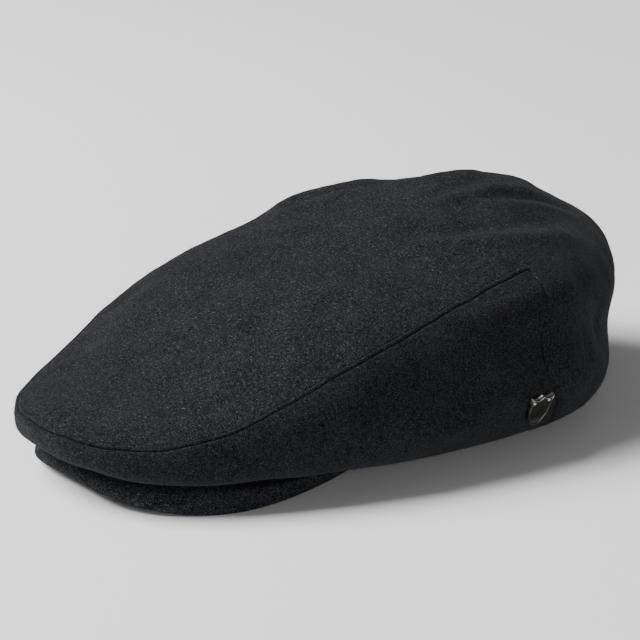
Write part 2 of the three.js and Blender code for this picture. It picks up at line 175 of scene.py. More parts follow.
# How much of its drop the peak has made by the share of the way to its edge.
PEAK_FALL = curve(
    (0, 0), (0.2, 0.2), (0.4, 0.4), (0.6, 0.56), (0.8, 0.66), (0.9, 0.73), (0.96, 0.84), (1, 1),
    flat_ends=False,
)


class PeakPoint(NamedTuple):
    """One bearing of the peak: its edge's place and lift, its thickness, and the swell before it."""

    bearing: float
    across: float
    reach: float
    lift: float
    thick: float
    swell: float


PEAK_EDGE = (
    PeakPoint(0, 0.0, 1.0, 1.25, 1.0, 0.2),
    PeakPoint(15, 0.47, 0.92, 0.8, 1.0, 0.5),
    PeakPoint(30, 0.83, 0.44, 0.0, 1.0, 0.75),
    PeakPoint(45, 0.92, -0.28, 0.35, 0.95, 0.35),
    PeakPoint(58, 0.84, -0.78, 0.5, 0.35, 0.0),
)


class Fold(NamedTuple):
    """A crest or valley between two places on the crown, as shares of the full fold's size."""

    bearing: float
    profile: float
    to_bearing: float
    to_profile: float
    rise: float
    width: float


FOLDS = (
    Fold(99, 0.26, 137, 0.58, 0.45, 0.6),
    Fold(106, 0.2, 140, 0.48, -0.5, 0.7),
    Fold(150, 0.36, 163, 0.66, 0.4, 0.55),
    Fold(157, 0.34, 163, 0.62, -0.6, 0.5),
    Fold(160, 0.24, 167, 0.46, 0.4, 0.55),
    Fold(195, 0.3, 178, 0.5, 0.6, 0.9),
    Fold(274, 0.36, 238, 0.26, 0.35, 0.8),
    Fold(262, 0.4, 230, 0.34, -0.5, 0.8),
    Fold(264, 0.48, 236, 0.46, 0.55, 0.9),
    Fold(286, 0.38, 272, 0.5, -0.4, 0.8),
    Fold(345, 0.72, 318, 0.6, -0.4, 1.3),
    Fold(60, 0.88, 100, 0.86, -0.7, 1.0),
    Fold(100, 0.86, 124, 0.9, -0.8, 1.1),
    Fold(127, 0.98, 158, 1.28, -0.8, 1.2),
    Fold(202, 1.28, 233, 0.98, -0.8, 1.2),
    Fold(236, 0.9, 260, 0.86, -0.8, 1.1),
    Fold(260, 0.86, 300, 0.88, -0.6, 1.0),
    Fold(62, 1.0, 91, 1.09, 0.4, 0.8),
    Fold(92, 0.7, 112, 0.74, 0.5, 0.9),
    # Finer ones, which the solids leave out.
    Fold(101.5, 1.0, 104, 1.5, -0.35, 0.35),
    Fold(258.5, 1.0, 256, 1.5, -0.35, 0.35),
    Fold(110, 0.92, 132, 1.0, -0.3, 0.7),
    Fold(128, 1.1, 150, 1.36, -0.45, 1.1),
    Fold(232, 1.1, 210, 1.36, -0.45, 1.1),
    Fold(108, 1.15, 122, 1.3, 0.35, 0.7),
    Fold(170, 0.2, 182, 0.42, -0.45, 0.5),
    Fold(75, 0.62, 98, 0.7, 0.25, 0.6),
)

# The badge's right half from its top to its point, in shares of half its width and height.
SHIELD = (
    (0, 1), (0.3, 0.8), (0.62, 0.8), (1, 0.93), (0.94, 0.6),
    (0.95, 0.1), (0.86, -0.35), (0.6, -0.72), (0.3, -0.93), (0, -1),
)


def column(rows: tuple, value: str, flat_ends: bool = True) -> Spline:
    """A spline through one named column of a table, by its rows' bearings."""
    return curve(*((row.bearing, getattr(row, value)) for row in rows), flat_ends=flat_ends)


def smoothstep(value: Array, low: float, high: float) -> Array:
    """Rises from 0 at low to 1 at high along 3t^2 - 2t^3."""
    t = np.clip((value - low) / (high - low), 0, 1)
    return t * t * (3 - 2 * t)


def unit(vectors: Array) -> Array:
    """Vectors made one long."""
    return vectors / np.maximum(np.linalg.norm(vectors, axis=-1, keepdims=True), 1e-12)


def fold_bearing(bearing: Array) -> tuple[Array, Array]:
    """A bearing as its distance from the front and its side, 1 for the wearer's left."""
    turned = np.mod(bearing + 180, 360) - 180
    return np.abs(turned), np.where(turned < 0, -1.0, 1.0)


@dataclass(frozen=True)
class CrownForm:
    """The crown's shape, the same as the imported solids', as functions of bearing and profile."""

    length: float = 290 * MM
    width: float = 220 * MM
    height: float = 97 * MM
    rim_length: float = 203 * MM
    rim_width: float = 172 * MM
    head_setback: float = 23 * MM
    wall: float = 2.4 * MM
    hem: float = 4 * MM
    fold_rise: float = 4 * MM
    fold_width: float = 12 * MM
    fold_end: float = 1.5
    hem_starts: float = 1.6
    foot_starts: float = 90
    foot_level: float = 138
    shift: tuple[float, float] = (0.0, 0.0)

    def rim(self, bearing: Array) -> Array:
        """The rim: an ellipse round the head whose height follows RIM_RISE.

        Args:
            bearing: degrees from the front.

        Returns:
            Points, one for each bearing.
        """
        off, _ = fold_bearing(bearing)
        turn = np.radians(bearing)
        x = self.rim_width / 2 * np.sin(turn) + self.shift[0]
        y = self.head_setback - self.rim_length / 2 * np.cos(turn) + self.shift[1]
        return np.stack([x, y, self.height * RIM_RISE(off)], -1)

    def smooth(self, bearing: Array, profile: Array) -> Array:
        """The crown before its folds.

        From the middle to the edge a place moves out as the sine of its share, and its height
        rolls from the roof line down to the edge like a superellipse. From the edge to the rim
        it follows a parabola whose corner is straight below the edge.

        Args:
            bearing: degrees from the front.
            profile: share of the way from the middle to the edge, then on to the rim.

        Returns:
            Points on the cloth's outside.
        """
        bearing, profile = np.broadcast_arrays(np.asarray(bearing, float), np.asarray(profile, float))
        off, side = fold_bearing(bearing)
        edge_x = self.width / 2 * side * column(SECTIONS, "across", False)(off)
        edge_y = self.length / 2 * column(SECTIONS, "along")(off)
        edge_z = self.height * column(SECTIONS, "edge")(off)
        roll = column(SECTIONS, "roll")(off)
        out = np.sin(np.clip(profile, 0, 1) * np.pi / 2)
        top_y = self.head_setback + (edge_y - self.head_setback) * out
        roof = self.height * ROOF(top_y / (self.length / 2))
        share = np.clip(1 - out**roll, 0, 1) ** (1 / roll)
        top = np.stack([edge_x * out, top_y, edge_z + (roof - edge_z) * share], -1)
        t = np.clip(profile - 1, 0, 1)[..., None]
        edge = np.stack([edge_x, edge_y, edge_z], -1)
        under = self.height * column(SECTIONS, "under")(off)
        corner = np.stack([edge_x, edge_y, under], -1)
        shift = np.array([*self.shift, 0])
        side_part = edge * (1 - t) ** 2 + corner * 2 * t * (1 - t) + (self.rim(bearing) - shift) * t**2
        return np.where((profile <= 1)[..., None], top, side_part) + shift

    def lift(self, points: Array, profile: Array) -> Array:
        """How far the folds lift the cloth: for each, a bell curve of the distance to it.

        Args:
            points: places on the smooth crown.
            profile: their profile shares; folds fade out towards the rim.

        Returns:
            Distances along the outward normal.
        """
        total = np.zeros(points.shape[:-1])
        for fold in FOLDS:
            share = np.linspace(0, 1, 9)
            line = self.smooth(
                fold.bearing + (fold.to_bearing - fold.bearing) * share,
                fold.profile + (fold.to_profile - fold.profile) * share,
            )
            least = np.full(total.shape, np.inf)
            for start, end in zip(line[:-1], line[1:]):
                run = end - start
                along = np.clip((points - start) @ run / (run @ run), 0, 1)
                gap = points - start - along[..., None] * run
                least = np.minimum(least, np.einsum("...i,...i", gap, gap))
            total += fold.rise * np.exp(-least / (self.fold_width * fold.width) ** 2)
        return self.fold_rise * total * (1 - smoothstep(profile, self.fold_end, 2))

    def normal(self, surface: Callable[[Array, Array], Array], bearing: Array, profile: Array) -> Array:
        """Outward normals of a surface, by differences along its two directions.

        Args:
            surface: gives points for bearings and profile shares.
            bearing: degrees from the front.
            profile: profile shares, kept a little off the middle and the rim.

        Returns:
            Vectors one long.
        """
        half_degree = 0.5
        profile = np.clip(profile, 2 * STEP, 2 - STEP)
        around = surface(bearing + half_degree, profile) - surface(bearing - half_degree, profile)
        down = surface(bearing, profile + STEP) - surface(bearing, profile - STEP)
        return unit(np.cross(down, around))

    def outside(self, bearing: Array, profile: Array) -> Array:
        """The crown with its folds: the smooth form moved along its normal by their lift.

        Args:
            bearing: degrees from the front.
            profile: profile shares.

        Returns:
            Points on the cloth's outside.
        """
        bearing, profile = np.broadcast_arrays(np.asarray(bearing, float), np.asarray(profile, float))
        points = self.smooth(bearing, profile)
        lift = self.lift(points, profile)[..., None]
        return points + self.normal(self.smooth, bearing, profile) * lift

    def wall_vector(self, bearing: Array, profile: Array, normal: Array) -> Array:
        """From the cloth's outside to its inside: the wall, thicker at the hem and level there.

        Args:
            bearing: degrees from the front.
            profile: profile shares.
            normal: the outside's normals.

        Returns:
            Vectors into the cloth, as long as its wall.
        """
        off, _ = fold_bearing(bearing)
        near = smoothstep(profile, self.hem_starts, 2)
        level = (near * smoothstep(off, self.foot_starts, self.foot_level))[..., None]
        turn = np.radians(bearing)
        outward = np.stack([np.sin(turn), -np.cos(turn), np.zeros_like(turn)], -1)
        out = unit(normal * (1 - level) + outward * level)
        return -out * (self.wall + (self.hem - self.wall) * near)[..., None]

    def place(self, bearing: Array, profile: Array, down: float) -> Array:
        """The profile share that lies a distance further down the cloth.

        Args:
            bearing: degrees from the front.
            profile: shares to start from.
            down: metres along the cloth, negative for up.

        Returns:
            New profile shares.
        """
        run = self.outside(bearing, profile + STEP) - self.outside(bearing, profile - STEP)
        return profile + down * 2 * STEP / np.linalg.norm(run, axis=-1)

    def skirt(self, straight: Array, share: Array, gap: float) -> tuple[Array, Array]:
        """Places between the top seam and the rim, slanted near the back seams to follow them.

        Args:
            straight: bearings of the columns before they slant.
            share: 0 at the top seam, 1 at the rim.
            gap: metres kept to the seam line, positive below it.

        Returns:
            Bearings and profile shares.
        """
        off, side = fold_bearing(straight)
        seam = column(SECTIONS, "seam")(off)
        seam = self.place(straight, seam, gap + self.wobble(straight * 2 * MM))
        profile = seam + (2 - seam) * share
        spread = (off - SEAM_BEARING) / SEAM_SPREAD
        slant = BACK_SEAM(profile) - SEAM_BEARING
        slant += self.wobble(profile * 80 * MM) / (2 * MM)
        return straight + side * slant * np.exp(-(spread**2)), profile

    def wobble(self, along: Array) -> Array:
        """How far a hand-guided seam strays sideways at a distance along it."""
        waves = ((0.2, 21, 0.7), (0.13, 9.3, 2.1), (0.09, 5.1, 4.0), (0.06, 3.3, 1.1))
        return sum(w * MM * np.sin(2 * np.pi * along / (period * MM) + phase) for w, period, phase in waves)

    def unevenness(self, points: Array) -> Array:
        """Soft hand-made waves in the cloth: a few sine waves of the place.

        Args:
            points: places on the cloth.

        Returns:
            Heights in metres.
        """
        waves = (
            (0.16, 31, (0.8, 0.5, 0.3), 0.4),
            (0.13, 23, (-0.5, 0.8, 0.2), 1.9),
            (0.1, 17, (0.6, -0.5, 0.7), 3.1),
            (0.07, 11, (-0.3, 0.6, -0.8), 4.4),
            (0.05, 7.5, (0.7, 0.7, 0.2), 0.9),
        )
        total = np.zeros(points.shape[:-1])
        for height, period, direction, phase in waves:
            along = points @ (np.array(direction) / np.linalg.norm(direction))
            total += height * MM * np.sin(2 * np.pi * along / (period * MM) + phase)
        return total


def stations(length: float, fine: float, coarse: float, marks: tuple[float, ...], reach: float) -> Array:
    """Shares from 0 to 1 that crowd together near some marks.

    The local step is fine at a mark and grows smoothly to coarse at reach from it, and stations
    stand at equal steps of the integral of one over that step.

    Args:
        length: the real length from 0 to 1.
        fine: step at a mark.
        coarse: step away from the marks.
        marks: shares where the steps are fine.
        reach: how far from a mark the step is still below coarse.

    Returns:
        The shares, with 0 and 1 among them.
    """
    at = np.linspace(0, 1, 4001)
    far = np.min([np.abs(at - mark) for mark in marks], axis=0) * length
    step = fine + (coarse - fine) * smoothstep(far, 0.5 * reach, 1.5 * reach)
    count = np.concatenate([[0], np.cumsum(length * np.diff(at) * (1 / step[1:] + 1 / step[:-1]) / 2)])
    return np.interp(np.linspace(0, count[-1], int(np.ceil(count[-1])) + 1), count, at)


def grid_index(rows: int, columns: int, ring: bool = False) -> Array:
    """Vertex numbers of a grid; a ring comes back to its first column."""
    index = np.arange(rows * columns).reshape(rows, columns)
    return np.concatenate([index, index[:, :1]], 1) if ring else index


def grid_faces(index: Array) -> Array:
    """Quads between neighbouring rows and columns of an index grid, rows running downwards."""
    return np.stack([index[:-1, :-1], index[1:, :-1], index[1:, 1:], index[:-1, 1:]], -1).reshape(-1, 4)


def run_lengths(points: Array, axis: int) -> Array:
    """Distance along the cloth from the first row or column, by adding up the steps."""
    steps = np.linalg.norm(np.diff(points, axis=axis), axis=-1)
    return np.concatenate([np.zeros_like(steps.take([0], axis)), np.cumsum(steps, axis=axis)], axis)


def to_nearer_end(points: Array) -> Array:
    """Distance along each row of the cloth to the nearer of its ends."""
    return np.minimum(run_lengths(points, 1), run_lengths(points[:, ::-1], 1)[:, ::-1])


@dataclass
class Sheet:
    """A wall: outer and inner points that share their faces, closed along its open edges."""

    outer: Array
    inner: Array
    faces: list[Array]

    @classmethod
    def of_grids(cls, outer: Array, inner: Array) -> "Sheet":
        """A wall between two grids of the same size."""
        return cls(outer.reshape(-1, 3), inner.reshape(-1, 3), [grid_faces(grid_index(*outer.shape[:2]))])

    def solid(self, name: str) -> bpy.types.Object:
        """The closed wall as an object.

        Args:
            name: the object's name.

        Returns:
            The object.
        """
        size = len(self.outer)
        sides = [np.stack([f, np.roll(f, -1, axis=1)], -1).reshape(-1, 2) for f in self.faces]
        edges = np.concatenate(sides)
        edges = edges[edges[:, 0] != edges[:, 1]]
        lone = edges[~np.isin(edges[:, 0] * size + edges[:, 1], edges[:, 1] * size + edges[:, 0])]
        walls = np.stack([lone[:, 1], lone[:, 0], lone[:, 0] + size, lone[:, 1] + size], -1)
        turned = [f[:, ::-1] + size for f in self.faces]
        points = np.concatenate([self.outer, self.inner])
        return make_object(name, points, [*self.faces, *turned, walls])


def make_object(name: str, points: Array, faces: list[Array], sharp: float = 60) -> bpy.types.Object:
    """A smooth-shaded mesh object from whole arrays.

    Args:
        name: the object's name.
        points: vertices in metres.
        faces: arrays of faces, each with its own number of corners.
        sharp: edges that turn by more degrees than this keep a crease in their shading.

    Returns:
        The object, linked to the scene.
    """
    mesh = bpy.data.meshes.new(name)
    corners = np.concatenate([f.ravel() for f in faces]).astype(np.int32)
    totals = np.concatenate([np.full(len(f), f.shape[1], np.int32) for f in faces])
    mesh.vertices.add(len(points))
    mesh.vertices.foreach_set("co", np.asarray(points, np.float32).ravel())
    mesh.loops.add(len(corners))
    mesh.loops.foreach_set("vertex_index", corners)
    mesh.polygons.add(len(totals))
    mesh.polygons.foreach_set("loop_start", np.concatenate([[0], np.cumsum(totals)[:-1]]).astype(np.int32))
    mesh.update(calc_edges=True)
    mesh.validate()
    mesh.shade_smooth()
    mesh.set_sharp_from_angle(angle=math.radians(sharp))
    obj = bpy.data.objects.new(name, mesh)
    bpy.context.scene.collection.objects.link(obj)
    return obj


@dataclass(frozen=True)
class Panel:
    """What both cloth panels share: how they are sampled, rolled in at the seams and hemmed."""

    form: CrownForm
    fine: float = 0.2 * MM
    coarse: float = 1.8 * MM
    around: float = 2.8 * MM
    reach: float = 9 * MM
    seam_roll: float = 0.95 * MM
    roll_closes: float = 0.98
    back_seam: float = 1.5
    puff: float = 0.2 * MM
    puff_from_seam: float = 2.2 * MM
    puff_width: float = 1.6 * MM
    hem_share: float = 0.965
    hem_rows: int = 7
    badge_calm: float = 13 * MM
    waves_fade: tuple[float, float] = (1.5, 1.9)
    round_length: float = 700 * MM
    disc_length: float = 95 * MM
    skirt_length: float = 115 * MM
    band_length: float = 480 * MM
    band_depth: float = 85 * MM

    def edge_relief(self, distance: Array) -> Array:
        """Relief beside a seam: the edge rolls in as a quarter circle, and the cloth swells past it.

        Args:
            distance: metres to the seam.

        Returns:
            Heights along the normal.
        """
        short = np.clip(1 - distance / self.seam_roll, 0, 1)
        roll = -self.seam_roll * (1 - np.sqrt(1 - self.roll_closes * short**2))
        swell = self.puff * np.exp(-(((distance - self.puff_from_seam) / self.puff_width) ** 2))
        return roll + swell

    def wall(self, bearing: Array, profile: Array, relief: Array) -> tuple[Array, Array]:
        """Outer and inner points of a stretch of cloth.

        Args:
            bearing: bearings of the grid.
            profile: profile shares of the grid.
            relief: extra height of the outer points along the normal.

        Returns:
            Outer and inner points.
        """
        form = self.form
        points = form.outside(bearing, profile)
        normal = form.normal(form.outside, bearing, profile)
        badge = form.outside(np.array(BADGE_BEARING), np.array(BADGE_PROFILE))
        calm = np.exp(-((np.linalg.norm(points - badge, axis=-1) / self.badge_calm) ** 2))
        wave = form.unevenness(points) * (1 - smoothstep(profile, *self.waves_fade)) * (1 - calm)
        inner = points + form.wall_vector(bearing, profile, normal)
        return points + normal * (relief + wave)[..., None], inner

    def hem(self, bearing: Array, outer: Array, inner: Array) -> tuple[Array, Array]:
        """The rounded bottom of the hem: half an ellipse from the last row to the rim's middle.

        Args:
            bearing: bearings along the last row.
            outer: the last row's outer points.
            inner: the last row's inner points.

        Returns:
            Outer and inner rows that meet at the bottom.
        """
        last = np.full_like(bearing, 2.0)
        normal = self.form.normal(self.form.outside, bearing, last)
        foot = self.form.outside(bearing, last) + self.form.wall_vector(bearing, last, normal) / 2
        middle, half = (outer + inner) / 2, (outer - inner) / 2
        turn = np.radians(np.linspace(0, ROUND_END, self.hem_rows + 1)[1:])[:, None, None]
        drop = np.sin(turn) * (foot - middle)
        return middle + np.cos(turn) * half + drop, middle - np.cos(turn) * half + drop


@dataclass(frozen=True)
class CrownPanel(Panel):
    """The top of the crown with its back: a disc inside the top seam, and the skirt behind it."""

    stitch_depth: float = 0.25 * MM
    stitch_from_seam: float = 2.4 * MM
    stitch_width: float = 0.5 * MM
    stitch_pitch: float = 2.7 * MM
    pucker: float = 0.12 * MM

    def columns(self) -> Array:
        """Bearings round the crown from one back seam, crowded at both back seams.

        Returns:
            Degrees from the front, rising.
        """
        seam = 2 * SEAM_BEARING / 360
        share = stations(self.round_length, self.fine, self.around, (0, 1, seam), self.reach)
        share[np.abs(share - seam).argmin()] = seam
        return share[:-1] * 360 - SEAM_BEARING

    def build(self) -> bpy.types.Object:
        """The crown panel as one closed wall.

        Returns:
            The object.
        """
        straight = self.columns()
        band_end = int(np.abs(straight - SEAM_BEARING).argmin())
        in_band = (np.arange(len(straight)) <= band_end).astype(float)
        seam_bearing, seam_profile = self.form.skirt(straight, np.zeros_like(straight), 0)
        raised = self.form.place(seam_bearing, seam_profile, -SEAM_GAP / 2)
        seam_profile = seam_profile + (raised - seam_profile) * in_band

        share = stations(self.disc_length, self.fine, self.coarse, (1,), self.reach)[1:, None]
        bearing = straight + (seam_bearing - straight) * share**2
        profile = seam_profile * share
        base = self.form.outside(bearing, profile)
        to_edge = run_lengths(base[::-1], 0)[::-1]
        beyond = np.minimum(
            np.abs(np.arange(len(straight)) - band_end), len(straight) - np.arange(len(straight))
        )
        fade = np.where(in_band > 0, 1.0, 1 - smoothstep(beyond * self.fine, 0, self.seam_roll))
        stitch = -self.stitch_depth * np.exp(-(((to_edge - self.stitch_from_seam) / self.stitch_width) ** 2))
        run = run_lengths(base, 1)[-1]
        pull = np.sin(2 * np.pi * run / self.stitch_pitch)
        pucker = self.pucker * pull * np.exp(-((to_edge / (3 * MM)) ** 2))
        relief = (self.edge_relief(to_edge) + stitch + pucker) * fade
        disc_outer, disc_inner = self.wall(bearing, profile, relief)

        skirt_columns = np.arange(band_end, len(straight) + 1) % len(straight)
        skirt_straight = np.concatenate([straight[band_end:], [straight[0] + 360]])
        rows = stations(self.skirt_length, self.coarse, self.coarse, (0,), self.reach)[1:, None]
        skirt_bearing, skirt_profile = self.form.skirt(
            np.broadcast_to(skirt_straight, (len(rows), len(skirt_straight))), rows * self.hem_share, 0
        )
        skirt_base = self.form.outside(skirt_bearing, skirt_profile)
        relief = self.back_seam * self.edge_relief(to_nearer_end(skirt_base) / self.back_seam)
        skirt_outer, skirt_inner = self.wall(skirt_bearing, skirt_profile, relief)
        hem_outer, hem_inner = self.hem(skirt_bearing[-1], skirt_outer[-1], skirt_inner[-1])
        skirt_outer = np.concatenate([skirt_outer, hem_outer])
        skirt_inner = np.concatenate([skirt_inner, hem_inner])

        pole_outer, pole_inner = self.wall(np.zeros(1), np.zeros(1), np.zeros(1))
        closed = grid_index(*disc_outer.shape[:2], ring=True) + 1
        fan = np.stack([np.zeros(len(straight), int), closed[0, :-1], closed[0, 1:]], -1)
        skirt_index = grid_index(*skirt_outer.shape[:2]) + closed.max() + 1
        skirt_index = np.concatenate([closed[-1][skirt_columns][None], skirt_index])
        faces = [fan, grid_faces(closed), grid_faces(skirt_index)]
        outer = np.concatenate([pole_outer, disc_outer.reshape(-1, 3), skirt_outer.reshape(-1, 3)])
        inner = np.concatenate([pole_inner, disc_inner.reshape(-1, 3), skirt_inner.reshape(-1, 3)])
        return Sheet(outer, inner, faces).solid("crown_panel")


@dataclass(frozen=True)
class SideBand(Panel):
    """The band under the top seam, from one back seam round the front to the other."""

    end_gap: float = 0.08

    def build(self) -> bpy.types.Object:
        """The band as one closed wall.

        Returns:
            The object.
        """
        across = stations(self.band_length, self.fine, self.around, (0, 1), self.reach)
        straight = (across * 2 - 1) * (SEAM_BEARING - self.end_gap)
        rows = stations(self.band_depth, self.fine, self.coarse, (0,), self.reach)[:, None]
        bearing, profile = self.form.skirt(
            np.broadcast_to(straight, (len(rows), len(straight))), rows * self.hem_share, SEAM_GAP / 2
        )
        base = self.form.outside(bearing, profile)
        to_top = np.maximum(run_lengths(base, 0), 1e-6)
        to_seam = np.maximum(to_nearer_end(base), 1e-6) / self.back_seam
        relief = self.edge_relief((to_top**-4 + to_seam**-4) ** -0.25)
        relief *= 1 + (self.back_seam - 1) * np.clip(1 - to_seam / to_top, 0, 1)
        outer, inner = self.wall(bearing, profile, relief)
        hem_outer, hem_inner = self.hem(bearing[-1], outer[-1], inner[-1])
        outer, inner = np.concatenate([outer, hem_outer]), np.concatenate([inner, hem_inner])
        return Sheet.of_grids(outer, inner).solid("side_panel")


@dataclass(frozen=True)
class Peak:
    """The stiff peak: wool drawn over a board, hung from the rim and resting on the floor."""

    form: CrownForm
    width: float = 164 * MM
    depth: float = 54 * MM
    thickness: float = 4.5 * MM
    room: float = 0.4 * MM
    foot: float = 0.78
    edge_reach: float = 1.2
    columns: int = 160
    rows: int = 60
    edge_rows: int = 12

    def middle(self, bearing: Array, share: Array) -> tuple[Array, Array]:
        """The board's middle surface and half its thickness.

        From its root under the rim the top falls as PEAK_FALL says, and swells along the sine of
        pi times the share to the fourth before it curls down at its edge.

        Args:
            bearing: degrees from the front.
            share: 0 at the root, 1 at the outer edge.

        Returns:
            Points and half thicknesses.
        """
        off, side = fold_bearing(bearing)
        root = self.form.rim(bearing) - np.array([0, 0, self.room])
        edge_x = self.width / 2 * side * column(PEAK_EDGE, "across", False)(off)
        front = self.form.head_setback - self.form.rim_length / 2
        edge_y = front - self.depth * column(PEAK_EDGE, "reach")(off)
        edge_z = self.thickness * (self.foot + column(PEAK_EDGE, "lift")(off))
        half = self.thickness * column(PEAK_EDGE, "thick")(off) / 2
        x = root[..., 0] + (edge_x + self.form.shift[0] - root[..., 0]) * share
        y = root[..., 1] + (edge_y + self.form.shift[1] - root[..., 1]) * share
        swell = self.thickness * column(PEAK_EDGE, "swell")(off)
        z = root[..., 2] + (edge_z - root[..., 2]) * PEAK_FALL(share) + swell * np.sin(np.pi * share**4)
        return np.stack([x, y, z - half], -1), half

    def build(self) -> bpy.types.Object:
        """The peak as one closed piece with a round edge.

        Returns:
            The object.
        """
        tip = PEAK_EDGE[-1].bearing
        bearing = np.linspace(-tip, tip, self.columns + 1)[None, :]
        root, _ = self.middle(bearing, np.zeros(1))
        edge, half = self.middle(bearing, np.ones(1))
        reach = np.linalg.norm(edge - root, axis=-1)
        turn_in = np.minimum(half * self.edge_reach / np.maximum(reach, MM), 0.5)
        share = np.linspace(0, 1, self.rows + 1)[:, None] * (1 - turn_in)
        body, thick = self.middle(np.broadcast_to(bearing, share.shape), share)
        rise = np.zeros_like(body)
        rise[..., 2] = thick
        turn = np.radians(np.linspace(0, ROUND_END, self.edge_rows + 1)[1:])[:, None, None]
        out = np.sin(turn) * (edge - body[-1])
        top = np.concatenate([body + rise, body[-1] + out + np.cos(turn) * rise[-1]])
        under = np.concatenate([body - rise, body[-1] + out - np.cos(turn) * rise[-1]])
        lowest = under[..., 2].min()
        top[..., 2] -= lowest
        under[..., 2] -= lowest
        return Sheet.of_grids(top, under).solid("peak_cover")


@dataclass(frozen=True)
class Badge:
    """The small metal shield in front of the left back seam: a raised rim round a bare field."""

    form: CrownForm
    width: float = 13.4 * MM
    height: float = 15.8 * MM
    plate: float = 1.1 * MM
    border: float = 0.5 * MM
    border_width: float = 1.0 * MM
    curl: float = 0.3 * MM
    dome: float = 0.3 * MM
    stud: float = 0.8 * MM
    stud_rise: float = 0.5 * MM
    stud_across: float = 0.66
    stud_up: float = 0.56
    room: float = 0.3 * MM
    turn: float = -6.0
    steps: int = 160
    rings: int = 26

    def outline(self) -> Array:
        """The shield's outline, all the way round at even steps, with its corners softened.

        Returns:
            Shares of half its width and height.
        """
        right = np.array(SHIELD)
        left = right[-2:0:-1] * (-1, 1)
        corners = np.concatenate([right, left, right[:1]])
        run = np.concatenate([[0], np.cumsum(np.linalg.norm(np.diff(corners, axis=0), axis=1))])
        at = np.linspace(0, run[-1], self.steps + 1)[:-1]
        sharp = np.stack([np.interp(at, run, corners[:, 0]), np.interp(at, run, corners[:, 1])], -1)
        soft = (np.roll(sharp, 1, 0) + np.roll(sharp, -1, 0) + 2 * sharp) / 4
        return (np.roll(soft, 1, 0) + np.roll(soft, -1, 0) + 2 * soft) / 4

    def frame(self) -> tuple[Array, Array]:
        """The badge's own frame on the cloth.

        Returns:
            The place of its middle, and rows across, up and out.
        """
        outside = self.form.outside
        bearing, profile = np.array(BADGE_BEARING), np.array(BADGE_PROFILE)
        out = self.form.normal(outside, bearing, profile)
        up = unit(outside(bearing, profile - STEP) - outside(bearing, profile + STEP))
        across = np.cross(up, out)
        cosine, sine = math.cos(math.radians(self.turn)), math.sin(math.radians(self.turn))
        rows = np.stack([across * cosine + up * sine, up * cosine - across * sine, out])
        return outside(bearing, profile) + out * self.room, rows

    def build(self) -> bpy.types.Object:
        """The shield as one closed piece with a flat back, its field slightly domed.

        Rings of the outline are drawn in by a margin. The border rises over its width as half a
        sine and curls higher along the top edge; inside it the field swells as a parabola.

        Returns:
            The object.
        """
        outline = self.outline()
        margin = np.linspace(0, self.border_width, 13)[:, None]
        half = np.array([self.width / 2, self.height / 2])
        border = outline[None] * (half - margin[..., None])
        top = smoothstep(outline[:, 1], 0.45, 0.85)
        bulge = np.sin(np.pi * margin / self.border_width)
        ridge = (self.border + self.curl * top) * bulge
        inward = np.linspace(1, 0, self.rings + 1)[1:-1, None]
        field = border[-1][None] * inward[..., None]
        swell = self.dome * (1 - inward**2) + 0 * outline[:, 0]
        flat = np.concatenate([border, field])
        rise = self.plate + np.concatenate([ridge, swell])
        studs = np.array([(-1, 1), (1, 1)]) * (self.stud_across, self.stud_up) * half
        aways = [np.linalg.norm(flat - stud, axis=-1) / self.stud for stud in studs]
        for away in aways:
            rise += self.stud_rise * np.sqrt(np.clip(1 - away**2, 0, 1))
        front = np.concatenate([flat, rise[..., None]], -1)
        back = np.concatenate([border[0], np.zeros((self.steps, 1))], -1)
        rows = np.concatenate([back[None], front])
        # Rubbed bright: the border's crest and the studs; painted highlight: the top edge made brighter
        # still; and the field grows lighter towards its bottom.
        crest = bulge**2 * (0.22 + 0.6 * top)
        low = 0.3 * smoothstep(-flat[len(border) :, :, 1], 0.25 * half[1], 0.75 * half[1])
        wear_and_highlight = np.concatenate([top[None], np.maximum(crest, top * (margin == 0)), low])
        for away in aways:
            wear_and_highlight[1:] = np.maximum(wear_and_highlight[1:], np.clip(1.4 - away, 0, 1))
        middle = np.array([[0, 0, self.plate + self.dome], [0, 0, 0]])
        points = np.concatenate([rows.reshape(-1, 3), middle])
        closed = grid_index(rows.shape[0], self.steps, ring=True)
        centre = np.full(self.steps, len(points) - 2)
        fan = np.stack([closed[-1, :-1], closed[-1, 1:], centre], -1)
        under = np.stack([closed[0, 1:], closed[0, :-1], centre + 1], -1)
        place, frame_rows = self.frame()
        faces = [grid_faces(closed)[:, ::-1], fan[:, ::-1], under[:, ::-1]]
        obj = make_object("badge_shield", place + points @ frame_rows, faces, 50)
        layer = obj.data.attributes.new("wear_and_highlight", "FLOAT", "POINT")
        layer.data.foreach_set("value", np.concatenate([wear_and_highlight.ravel(), [0, 0]]).astype(np.float32))
        return obj


